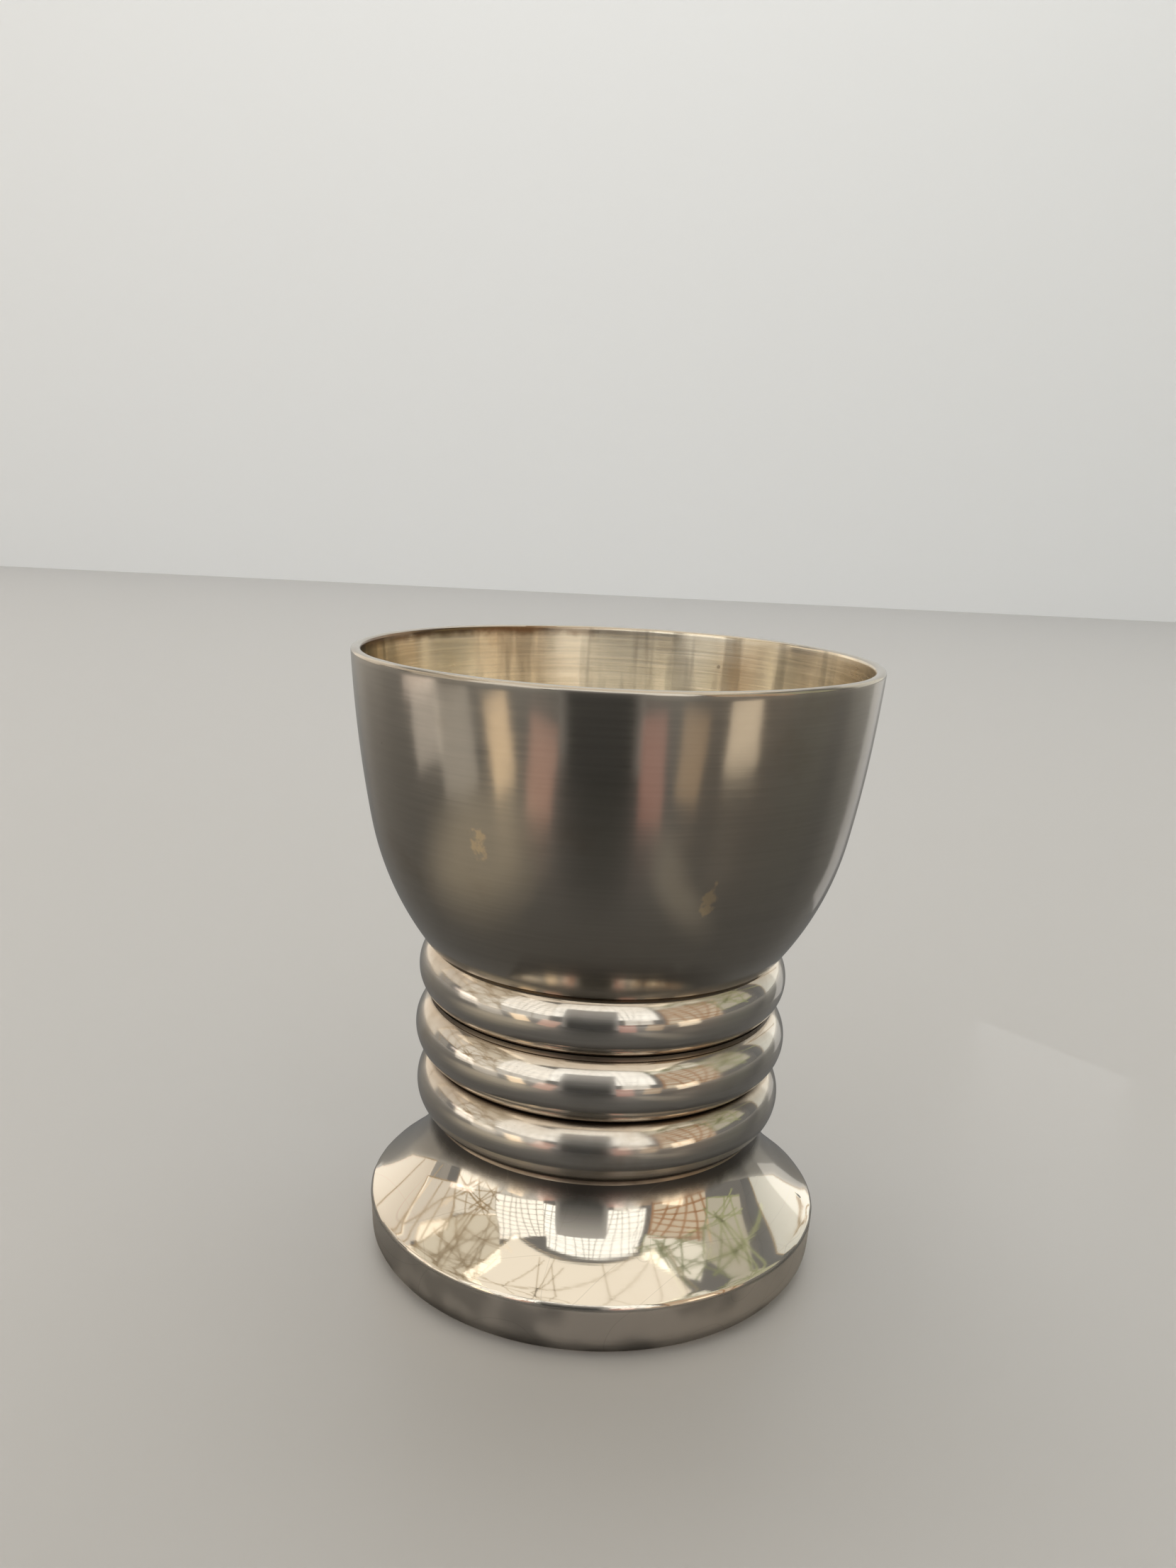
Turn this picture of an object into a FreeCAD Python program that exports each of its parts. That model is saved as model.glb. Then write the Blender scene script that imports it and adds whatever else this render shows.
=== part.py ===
"""Double-ended bar jigger: a spun cup on a ringed neck and a flared foot.

The large cup opens upwards. The small measure is turned over inside the neck and
foot, and opens downwards. Three turned rings are slid over the small measure and
soldered between the large cup and the foot. Everything is turned about the Z axis,
the foot stands on Z = 0, and all lengths are in millimetres.
"""
import FreeCAD, Part
import math
import os
from dataclasses import dataclass

import Sketcher

AXIS = "on the Z axis"
GROUND = "on the ground plane"
SMOOTH = "where two arcs share a tangent"
SHEET = "Dimensions"
FINE = 1e-9

DRIVING = {
    "overall_height": ("64.0", "foot contact ring to the lip of the large cup"),
    "rim_radius": ("26.7", "outside radius of the large cup at its lip"),
    "cup_wall": ("1.0", "sheet thickness of the large cup"),
    "side_radius": ("131.0", "slow curve of the cup's upper side"),
    "belly_radius": ("31.0", "curve of the cup's lower side"),
    "belly_top": ("46.9", "height where the two curves of the cup meet"),
    "cup_base_radius": ("18.63", "edge of the cup's flat bottom"),
    "cup_base_round": ("0.3", "rounding of that edge"),
    "cup_floor_radius": ("18.05", "edge of the cup's floor, before rounding"),
    "cup_floor_round": ("4.0", "rounding between the cup's floor and side, inside"),
    "lip_round": ("0.44", "rounding of both edges of the lip"),
    "lower_ring_height": ("6.2", "height of the lower neck ring"),
    "middle_ring_height": ("6.5", "height of the middle one"),
    "upper_ring_height": ("5.9", "height of the upper one"),
    "ring_radius": ("19.33", "outermost radius of the upper and lower rings"),
    "middle_ring_radius": ("19.58", "outermost radius of the middle ring"),
    "ring_face_radius": ("3.8", "crown of a ring's face, seen in section"),
    "ring_edge_round": ("1.0", "rounding between a ring's face and its ends"),
    "cup_seam": ("0.15", "solder between the upper ring and the cup"),
    "neck_seam": ("0.25", "solder between the upper and middle rings"),
    "neck_seam_reach": ("18.15", "radius to which that solder fills the crease"),
    "neck_seam_hollow": ("0.9", "hollow of that solder's outer face"),
    "foot_seam": ("0.5", "solder between the foot's collar and the lower ring"),
    "foot_seam_hollow": ("0.9", "hollow of that solder's outer face"),
    "foot_top": ("14.5", "height of the foot's collar"),
    "neck_radius": ("17.5", "outside radius of the collar, where the foot is turned thin"),
    "tube_radius": ("17.07", "outside of the measure, and bore of the rings and the collar"),
    "collar_start": ("13.97", "height where the flare ends in the straight collar"),
    "collar_bore_start": ("12.0", "height where the collar's bore starts, inside"),
    "flare_neck_radius": ("9.93", "tighter curve of the flare, beside the collar"),
    "flare_middle": ("9.58", "height where the two curves of the flare meet"),
    "flare_lean": ("41.1", "lean of the flare there, in degrees from upright"),
    "flare_radius": ("26.6", "slow curve of the flare, beside the band"),
    "band_radius": ("24.08", "foot's largest radius, at the top of its band"),
    "band_top": ("5.58", "height of the band's upper edge"),
    "band_bottom": ("1.9", "height of the band's lower edge"),
    "band_bottom_radius": ("23.85", "radius of the band's lower edge"),
    "band_edge_round": ("0.22", "wear on the band's edges"),
    "contact_radius": ("22.5", "outer edge of the ring that the foot stands on"),
    "turn_under_radius": ("3.2", "curve from the band to the contact ring"),
    "foot_wall": ("1.0", "sheet thickness of the foot"),
    "hem_inner_radius": ("20.6", "inner edge of the foot's turned-in hem"),
    "hem_height": ("1.0", "thickness of the hem"),
    "hem_root_radius": ("22.1", "where the hem's upper face meets the foot's wall"),
    "plate_thickness": ("0.8", "closing plate that lies on the hem"),
    "plate_radius": ("21.9", "outside radius of the closing plate"),
    "plate_seam_hollow": ("1.5", "hollow of the solder between the plate and the foot's wall"),
    "measure_wall": ("0.9", "sheet thickness of the small measure"),
    "measure_mouth": ("0.3", "height of the measure's mouth above the ground"),
    "measure_shoulder": ("31.0", "height where the measure's domed end starts"),
    "measure_top": ("33.3", "top of the measure's domed end"),
    "measure_shoulder_round": ("2.0", "rounding of the domed end's shoulder"),
    "measure_lip_round": ("0.38", "rounding of both edges of the measure's mouth"),
    "mouth_seam_width": ("0.7", "solder fillet under the plate, outwards from the measure"),
    "mouth_seam_drop": ("0.3", "that fillet, downwards from the plate"),
}

DERIVED = {
    "ring_low_start": ("foot_top + foot_seam", "underside of the lower ring"),
    "ring_mid_start": ("ring_low_start + lower_ring_height", "underside of the middle ring"),
    "ring_mid_end": ("ring_mid_start + middle_ring_height", "top of the middle ring"),
    "ring_top_start": ("ring_mid_end + neck_seam", "underside of the upper ring"),
    "ring_top_end": ("ring_top_start + upper_ring_height", "top of the upper ring"),
    "cup_bottom": ("ring_top_end + cup_seam", "underside of the large cup"),
    "cup_floor": ("cup_bottom + cup_wall", "floor of the large cup"),
    "lip_inner_radius": ("rim_radius - cup_wall", "inside radius of the large cup at its lip"),
    "inner_side_radius": ("side_radius - cup_wall", "curve of the upper side, inside"),
    "inner_belly_radius": ("belly_radius - cup_wall", "curve of the lower side, inside"),
    "lower_ring_shoulder": ("ring_radius - ring_face_radius + sqrt(ring_face_radius ^ 2"
                            " - (lower_ring_height / 2) ^ 2)", "where its face meets its ends"),
    "middle_ring_shoulder": ("middle_ring_radius - ring_face_radius + sqrt(ring_face_radius ^ 2"
                             " - (middle_ring_height / 2) ^ 2)", "the same on the middle ring"),
    "upper_ring_shoulder": ("ring_radius - ring_face_radius + sqrt(ring_face_radius ^ 2"
                            " - (upper_ring_height / 2) ^ 2)", "the same on the upper ring"),
    "ring_root": ("ring_radius - ring_face_radius + sqrt((ring_face_radius - ring_edge_round) ^ 2"
                  " - (lower_ring_height / 2 - ring_edge_round) ^ 2)", "edge of its flat ends"),
    "neck_blank_low": ("ring_mid_end - 2 * neck_seam", "neck seam's lower end before it is cut"),
    "neck_blank_high": ("ring_top_start + 2 * neck_seam", "neck seam's upper end before it is cut"),
    "inner_flare_middle": ("flare_middle - foot_wall * sin(flare_lean)", "where the inner curves meet"),
    "inner_neck_flare": ("flare_neck_radius + foot_wall", "tighter curve of the flare, inside"),
    "inner_flare": ("flare_radius + foot_wall", "slow curve of the flare, inside"),
    "band_inner_radius": ("band_radius - foot_wall", "inside of the band at its top"),
    "band_inner_top": ("band_top - foot_wall / 2", "height of the band's inside corner"),
    "turn_under_inside": ("band_bottom_radius - foot_wall", "inside of the band at its bottom"),
    "plate_top": ("hem_height + plate_thickness", "top of the closing plate"),
    "measure_bore": ("tube_radius - measure_wall", "inside radius of the measure"),
    "measure_dome": ("(tube_radius ^ 2 / (measure_top - measure_shoulder) + measure_top"
                     " - measure_shoulder) / 2", "radius of the measure's domed end"),
    "measure_inner_dome": ("measure_dome - measure_wall", "radius of the dome, inside"),
    "measure_ceiling": ("measure_top - measure_wall", "top of the measure, inside"),
    "measure_inner_shoulder": ("measure_top - measure_dome + sqrt(measure_inner_dome ^ 2"
                               " - measure_bore ^ 2)", "inside height of its shoulder"),
    "measure_inner_round": ("measure_shoulder_round - measure_wall", "shoulder's inside rounding"),
    "mouth_seam_radius": ("tube_radius + mouth_seam_width", "outer edge of the mouth's solder"),
    "mouth_seam_low": ("hem_height - mouth_seam_drop", "lower edge of the mouth's solder"),
}


@dataclass
class Corner:
    """One corner of a half-section, and the edge that leads to the next corner.

    `across` and `up` name the cells that hold its radius and height. A corner that is
    SMOOTH across joins two arcs with a shared tangent, so its radius follows from
    them. A rounded corner is given by its sharp point, from which both edges are cut
    back.
    """
    across: str
    up: str
    bow: str = ""           # cell with the radius of the arc to the next corner
    hollow: bool = False    # True where that arc curves into the metal
    rounding: str = ""      # cell with the radius that rounds the corner itself


doc = FreeCAD.newDocument("bar_jigger")


def fill_sheet():
    """Write the driving and derived dimensions, each in a cell with an alias."""
    sheet = doc.addObject("Spreadsheet::Sheet", SHEET)
    formulas = {alias: ("=" + rule, note) for alias, (rule, note) in DERIVED.items()}
    for row, (alias, (content, note)) in enumerate({**DRIVING, **formulas}.items(), start=1):
        sheet.set(f"A{row}", alias)
        sheet.set(f"B{row}", content)
        sheet.set(f"C{row}", note)
        sheet.setAlias(f"B{row}", alias)
    doc.recompute()
    return sheet


sheet = fill_sheet()


def cell(alias):
    """Return the number that a named cell holds."""
    return float(sheet.get(alias))


def bind(target, path, alias):
    """Tie one property of an object to a named cell."""
    target.setExpression(path, f"{SHEET}.{alias}")


class Run:
    """Where one edge of an outline is first drawn: a line, or an arc of a radius."""

    def __init__(self, start, end, radius=0.0, hollow=False):
        self.start = start
        self.end = end
        self.radius = radius
        self.sense = -1 if hollow else 1
        if radius:
            chord = end - start
            rise = math.sqrt(radius ** 2 - (chord.Length / 2) ** 2)
            left = FreeCAD.Vector(-chord.y, chord.x, 0).normalize()
            self.centre = (start + end) / 2 + left * (self.sense * rise)

    def heading(self, point):
        """Return the unit vector along which the edge passes one of its points."""
        if not self.radius:
            return (self.end - self.start).normalize()
        arm = (point - self.centre) * self.sense
        return FreeCAD.Vector(-arm.y, arm.x, 0).normalize()

    def cut_back(self, from_start, from_end):
        """Shorten the edge by a length at each end."""
        self.start, self.end = self.moved(self.start, from_start), self.moved(self.end, -from_end)

    def moved(self, point, length):
        """Return a point of the edge moved along it."""
        if not self.radius:
            return point + self.heading(point) * length
        turn = FreeCAD.Rotation(Axis=FreeCAD.Vector(0, 0, self.sense), Radian=length / self.radius)
        return self.centre + turn.multVec(point - self.centre)

    def geometry(self):
        """Return the sketch geometry, and the vertex numbers of its start and end."""
        if not self.radius:
            return Part.LineSegment(self.start, self.end), (1, 2)
        first, last = (self.start, self.end) if self.sense > 0 else (self.end, self.start)
        angles = [math.atan2(p.y - self.centre.y, p.x - self.centre.x) for p in (first, last)]
        circle = Part.Circle(self.centre, FreeCAD.Vector(0, 0, 1), self.radius)
        return Part.ArcOfCircle(circle, *angles), ((1, 2) if self.sense > 0 else (2, 1))


class HalfSection:
    """A closed, fully constrained half-section; its outline runs anticlockwise."""

    def __init__(self, corners):
        self.corners = corners
        self.geometry = []
        self.rules = []
        self.sizes = {}
        self.places = [FreeCAD.Vector(0 if c.across in (AXIS, SMOOTH) else cell(c.across),
                                      0 if c.up == GROUND else cell(c.up), 0) for c in corners]
        for number, corner in enumerate(corners):
            if corner.across == SMOOTH:
                self.find_smooth(number)
        self.runs = [self.run(number) for number in range(len(corners))]
        self.rounds = self.plan_rounds()
        self.ends = [self.outline(run) for run in self.runs]
        for number, corner in enumerate(corners):
            if corner.bow:
                self.size(("Radius", number), corner.bow)
            if corner.rounding:
                self.join_rounded(number)
            else:
                self.join_plain(number)

    def draw(self, sketch):
        """Put the outline into a sketch, and bind its dimensions to their cells."""
        for shape, construction in self.geometry:
            sketch.addGeometry(shape, construction)
        sketch.addConstraint(self.rules)
        for number, alias in self.sizes.items():
            bind(sketch, f"Constraints[{number}]", alias)

    def run(self, number):
        """Return the edge that leads from a corner to the next one."""
        number %= len(self.corners)
        corner = self.corners[number]
        return Run(self.places[number], self.places[(number + 1) % len(self.corners)],
                   cell(corner.bow) if corner.bow else 0.0, corner.hollow)

    def turn_at(self, number):
        """Return the angle by which the outline turns left at a corner."""
        place = self.places[number]
        before = self.run(number - 1).heading(place)
        after = self.run(number).heading(place)
        return math.atan2(before.cross(after).z, before.dot(after))

    def find_smooth(self, number):
        """Move a corner across until its two arcs share a tangent, by halving the way."""
        low, high = sorted(self.places[n].x for n in (number - 1, number + 1))
        self.places[number].x = low
        rising = self.turn_at(number) < 0
        while high - low > FINE:
            middle = (low + high) / 2
            self.places[number].x = middle
            if (self.turn_at(number) < 0) == rising:
                low = middle
            else:
                high = middle

    def plan_rounds(self):
        """Cut the edges back at the rounded corners; return the arcs that fill the gaps."""
        turns = [self.turn_at(number) for number in range(len(self.corners))]
        cuts = [cell(c.rounding) * math.tan(abs(turn) / 2) if c.rounding else 0.0
                for c, turn in zip(self.corners, turns)]
        for number, run in enumerate(self.runs):
            run.cut_back(cuts[number], cuts[(number + 1) % len(cuts)])
        return {number: Run(self.runs[number - 1].end, self.runs[number].start,
                            cell(corner.rounding), hollow=turns[number] < 0)
                for number, corner in enumerate(self.corners) if corner.rounding}

    def outline(self, run):
        """Add an edge to the outline; return its number with each of its two vertices."""
        shape, (start, end) = run.geometry()
        self.geometry.append((shape, False))
        number = len(self.geometry) - 1
        return (number, start), (number, end)

    def join_plain(self, number):
        """Join two edges at a corner, sharp or smooth, and pin the corner."""
        corner = self.corners[number]
        before, after = self.ends[number - 1][1], self.ends[number][0]
        self.rule("Tangent" if corner.across == SMOOTH else "Coincident", *before, *after)
        self.pin(after, corner)

    def join_rounded(self, number):
        """Join two edges by a tangent arc, and pin the sharp point that it replaces."""
        corner = self.corners[number]
        before, after = self.ends[number - 1][1], self.ends[number][0]
        start, end = self.outline(self.rounds[number])
        self.rule("Tangent", *before, *start)
        self.rule("Tangent", *end, *after)
        self.size(("Radius", start[0]), corner.rounding)
        self.geometry.append((Part.Point(self.places[number]), True))
        sharp = len(self.geometry) - 1
        self.rule("PointOnObject", sharp, 1, before[0])
        self.rule("PointOnObject", sharp, 1, after[0])
        self.pin((sharp, 1), corner)

    def pin(self, vertex, corner):
        """Hold a vertex on the axis or the ground, or at its cells' distances from them."""
        for kind, alias, on_line, line in (("DistanceX", corner.across, AXIS, -2),
                                           ("DistanceY", corner.up, GROUND, -1)):
            if alias == on_line:
                self.rule("PointOnObject", *vertex, line)
            elif alias != SMOOTH:
                self.size((kind, -1, 1) + vertex, alias)

    def rule(self, *what):
        """Add a constraint."""
        self.rules.append(Sketcher.Constraint(*what))

    def size(self, what, alias):
        """Add a dimension that follows a cell."""
        self.sizes[len(self.rules)] = alias
        self.rule(*what, cell(alias))


class TurnedBody:
    """A PartDesign body whose solid is turned about the Z axis from a half-section."""

    def __init__(self, label, feature, corners):
        self.body = doc.addObject("PartDesign::Body", label)
        self.body.Label = label
        sketch = self.body.newObject("Sketcher::SketchObject", feature + "Section")
        plane = next(f for f in self.body.Origin.OriginFeatures if f.Role == "XZ_Plane")
        sketch.AttachmentSupport = (plane, [""])
        sketch.MapMode = "FlatFace"
        HalfSection(corners).draw(sketch)
        turned = self.body.newObject("PartDesign::Revolution", feature)
        turned.Profile = (sketch, [""])
        turned.ReferenceAxis = (sketch, ["V_Axis"])
        turned.Angle = 360
        doc.recompute()


def large_cup():
    """Spun cup: a flat bottom, a full belly and a nearly straight side."""
    return TurnedBody("upper_cup", "Spinning", [
        Corner(AXIS, "cup_bottom"),
        Corner("cup_base_radius", "cup_bottom", bow="belly_radius", rounding="cup_base_round"),
        Corner(SMOOTH, "belly_top", bow="side_radius"),
        Corner("rim_radius", "overall_height", rounding="lip_round"),
        Corner("lip_inner_radius", "overall_height", bow="inner_side_radius", hollow=True,
               rounding="lip_round"),
        Corner(SMOOTH, "belly_top", bow="inner_belly_radius", hollow=True),
        Corner("cup_floor_radius", "cup_floor", rounding="cup_floor_round"),
        Corner(AXIS, "cup_floor"),
    ]).body


def neck_ring(label, start, end, shoulder):
    """Turned bead ring: a plain bore, narrow flat ends and a round face."""
    return TurnedBody(label, "Turning", [
        Corner("tube_radius", start),
        Corner(shoulder, start, bow="ring_face_radius", rounding="ring_edge_round"),
        Corner(shoulder, end, rounding="ring_edge_round"),
        Corner("tube_radius", end),
    ]).body


def foot():
    """Spun foot: collar, flare, plain band and an edge turned under into a flat hem."""
    return TurnedBody("foot_shell", "Spinning", [
        Corner("hem_inner_radius", GROUND),
        Corner("contact_radius", GROUND, bow="turn_under_radius"),
        Corner("band_bottom_radius", "band_bottom", rounding="band_edge_round"),
        Corner("band_radius", "band_top", bow="flare_radius", hollow=True,
               rounding="band_edge_round"),
        Corner(SMOOTH, "flare_middle", bow="flare_neck_radius", hollow=True),
        Corner("neck_radius", "collar_start"),
        Corner("neck_radius", "foot_top"),
        Corner("tube_radius", "foot_top"),
        Corner("tube_radius", "collar_bore_start", bow="inner_neck_flare"),
        Corner(SMOOTH, "inner_flare_middle", bow="inner_flare"),
        Corner("band_inner_radius", "band_inner_top"),
        Corner("turn_under_inside", "band_bottom"),
        Corner("hem_root_radius", "hem_height"),
        Corner("hem_inner_radius", "hem_height"),
    ]).body


def small_measure():
    """Spun measure, turned over: a plain tube with a domed end, open at the ground."""
    return TurnedBody("lower_measure", "Spinning", [
        Corner("measure_bore", "measure_mouth", rounding="measure_lip_round"),
        Corner("tube_radius", "measure_mouth", rounding="measure_lip_round"),
        Corner("tube_radius", "measure_shoulder", bow="measure_dome",
               rounding="measure_shoulder_round"),
        Corner(AXIS, "measure_top"),
        Corner(AXIS, "measure_ceiling", bow="measure_inner_dome", hollow=True),
        Corner("measure_bore", "measure_inner_shoulder", rounding="measure_inner_round"),
    ]).body


def closing_plate():
    """Flat ring that closes the foot: it lies on the hem, round the measure's mouth."""
    return TurnedBody("closing_plate", "Turning", [
        Corner("tube_radius", "hem_height"),
        Corner("plate_radius", "hem_height"),
        Corner("plate_radius", "plate_top"),
        Corner("tube_radius", "plate_top"),
    ]).body


def cup_solder():
    """Solder film between the upper ring's flat end and the cup's bottom."""
    return TurnedBody("cup_solder_seam", "Film", [
        Corner("tube_radius", "ring_top_end"),
        Corner("ring_root", "ring_top_end"),
        Corner("ring_root", "cup_bottom"),
        Corner("tube_radius", "cup_bottom"),
    ]).body


def foot_solder():
    """Solder between the foot's collar and the lower ring, a little hollow outside."""
    return TurnedBody("foot_solder_seam", "Seam", [
        Corner("tube_radius", "foot_top"),
        Corner("neck_radius", "foot_top", bow="foot_seam_hollow", hollow=True),
        Corner("ring_root", "ring_low_start"),
        Corner("tube_radius", "ring_low_start"),
    ]).body


def plate_solder():
    """Solder between the closing plate's edge and the foot's wall, over the hem."""
    return TurnedBody("plate_solder_seam", "Seam", [
        Corner("plate_radius", "hem_height"),
        Corner("hem_root_radius", "hem_height"),
        Corner("turn_under_inside", "band_bottom", bow="plate_seam_hollow", hollow=True),
        Corner("plate_radius", "plate_top"),
    ]).body


def mouth_solder():
    """Solder fillet under the closing plate, round the measure."""
    return TurnedBody("mouth_solder_seam", "Seam", [
        Corner("tube_radius", "mouth_seam_low"),
        Corner("mouth_seam_radius", "hem_height"),
        Corner("tube_radius", "hem_height"),
    ]).body


def neck_solder(upper_ring, middle_ring):
    """Solder in the crease between two rings: a blank cut to the rings beside it."""
    blank = TurnedBody("neck_seam_blank", "Blank", [
        Corner("tube_radius", "neck_blank_low"),
        Corner("neck_seam_reach", "neck_blank_low", bow="neck_seam_hollow", hollow=True),
        Corner("neck_seam_reach", "neck_blank_high"),
        Corner("tube_radius", "neck_blank_high"),
    ])
    rings = doc.addObject("Part::MultiFuse", "neck_seam_rings")
    rings.Shapes = [upper_ring, middle_ring]
    seam = doc.addObject("Part::Cut", "neck_solder_seam")
    seam.Base, seam.Tool = blank.body, rings
    return seam


def check_document():
    """Stop if any object of the document is left invalid or in error."""
    doc.recompute()
    for item in doc.Objects:
        if {"Invalid", "Error"} & set(item.State):
            raise RuntimeError(f"{item.Label}: {item.State}")
        if item.isDerivedFrom("Sketcher::SketchObject") and not item.FullyConstrained:
            raise RuntimeError(f"{item.Label}: sketch is not fully constrained")


def export(pieces):
    """Write each piece to its own STEP file, named after its label."""
    os.makedirs("parts", exist_ok=True)
    for piece in pieces:
        if piece.Shape.isNull() or not piece.Shape.isValid() or not piece.Shape.Solids:
            raise RuntimeError(f"{piece.Label}: no valid solid")
        piece.Shape.exportStep(f"parts/{piece.Label}.step")
        box = piece.Shape.optimalBoundingBox()
        print(f"{piece.Label:20s} {piece.Shape.Volume:9.1f} mm3   r {box.XMax:6.3f}"
              f"   z {box.ZMin:6.3f} to {box.ZMax:6.3f}")


def main():
    """Build every piece, check the document and write the files."""
    cup = large_cup()
    ring_upper = neck_ring("ring_upper", "ring_top_start", "ring_top_end",
                           "upper_ring_shoulder")
    ring_middle = neck_ring("ring_middle", "ring_mid_start", "ring_mid_end",
                            "middle_ring_shoulder")
    ring_lower = neck_ring("ring_lower", "ring_low_start", "ring_mid_start",
                           "lower_ring_shoulder")
    pieces = [
        cup, ring_upper, ring_middle, ring_lower, foot(), small_measure(), closing_plate(),
        cup_solder(), neck_solder(ring_upper, ring_middle), foot_solder(), plate_solder(),
        mouth_solder(),
    ]
    check_document()
    export(pieces)


main()
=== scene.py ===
"""Looks of a double-ended bar jigger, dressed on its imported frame.

A spun cup stands on three turned rings and a flared foot, and a smaller measure is
turned over inside them. Every piece is a surface of revolution about the Z axis, so
each one is drawn as a half-section and spun. Lengths are in metres, the foot stands on
Z = 0, and heights come from the frame's own boxes.
"""

import logging
import math
from dataclasses import dataclass
from enum import Enum

import bpy
from mathutils import Matrix, Vector


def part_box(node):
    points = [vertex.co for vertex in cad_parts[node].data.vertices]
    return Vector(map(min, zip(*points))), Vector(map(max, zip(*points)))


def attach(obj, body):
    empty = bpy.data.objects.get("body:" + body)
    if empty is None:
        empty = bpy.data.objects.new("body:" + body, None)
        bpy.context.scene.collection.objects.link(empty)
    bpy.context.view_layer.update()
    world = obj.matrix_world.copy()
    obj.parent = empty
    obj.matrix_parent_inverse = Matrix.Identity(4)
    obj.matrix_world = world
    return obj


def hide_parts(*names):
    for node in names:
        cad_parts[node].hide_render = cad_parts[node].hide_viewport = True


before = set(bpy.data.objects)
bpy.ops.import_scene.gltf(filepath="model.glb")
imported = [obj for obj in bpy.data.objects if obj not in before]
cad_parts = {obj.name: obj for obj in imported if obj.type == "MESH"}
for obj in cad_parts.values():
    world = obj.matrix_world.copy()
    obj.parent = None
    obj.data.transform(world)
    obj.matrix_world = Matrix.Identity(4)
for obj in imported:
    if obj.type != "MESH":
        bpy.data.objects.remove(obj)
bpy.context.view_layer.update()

Colour = tuple[float, float, float, float]
Point = tuple[float, float]
Place = tuple[float, float, float]
Value = bpy.types.NodeSocket | float | tuple[float, ...]

log = logging.getLogger("jigger")

MM = 0.001
AROUND = 256            # faces round a turned piece
ARC_STEP = math.radians(3)
RUN_STEP = 0.9 * MM     # longest face along a half-section
WELD = 0.001 * MM


def select_only(piece: bpy.types.Object) -> None:
    """Make one object the selected and the active one."""
    bpy.ops.object.select_all(action="DESELECT")
    piece.select_set(True)
    bpy.context.view_layer.objects.active = piece


# ---------------------------------------------------------------- half-sections


@dataclass(frozen=True)
class Arc:
    """An arc of a half-section, from start to end, both (radius, height).

    An outline runs anticlockwise, so a full arc bulges out of the metal and a hollow
    one curves into it.
    """
    start: Point
    end: Point
    radius: float
    hollow: bool = False

    @property
    def centre(self) -> Vector:
        """The arc's centre."""
        start, end = Vector(self.start), Vector(self.end)
        chord = end - start
        rise = math.sqrt(self.radius ** 2 - (chord.length / 2) ** 2)
        left = Vector((-chord.y, chord.x)).normalized()
        return (start + end) / 2 + left * (-rise if self.hollow else rise)

    def inset(self, depth: float) -> "Arc":
        """Return the parallel arc one sheet thickness inside the metal, run backwards.

        Args:
            depth: Thickness of the sheet.

        Returns:
            The arc about the same centre, with its ends exchanged.
        """
        radius = self.radius + (depth if self.hollow else -depth)
        centre = self.centre
        ends = [tuple(centre + (Vector(p) - centre) * (radius / self.radius))
                for p in (self.end, self.start)]
        return Arc(ends[0], ends[1], radius, not self.hollow)

    def points(self) -> list[Point]:
        """Return the points of the arc after its start, evenly spaced."""
        centre = self.centre
        first, last = Vector(self.start) - centre, Vector(self.end) - centre
        sweep = math.atan2(first.cross(last), first.dot(last))
        count = max(2, math.ceil(max(abs(sweep) / ARC_STEP,
                                     abs(sweep) * self.radius / RUN_STEP)))
        turns = (Matrix.Rotation(sweep * n / count, 2) for n in range(1, count + 1))
        return [tuple(centre + turn @ first) for turn in turns]


@dataclass(frozen=True)
class Run:
    """A straight stretch of a half-section, from start to end."""
    start: Point
    end: Point

    def points(self) -> list[Point]:
        """Return the points of the run after its start, evenly spaced."""
        start, end = Vector(self.start), Vector(self.end)
        count = max(1, math.ceil((end - start).length / RUN_STEP))
        return [tuple(start.lerp(end, n / count)) for n in range(1, count + 1)]


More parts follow.
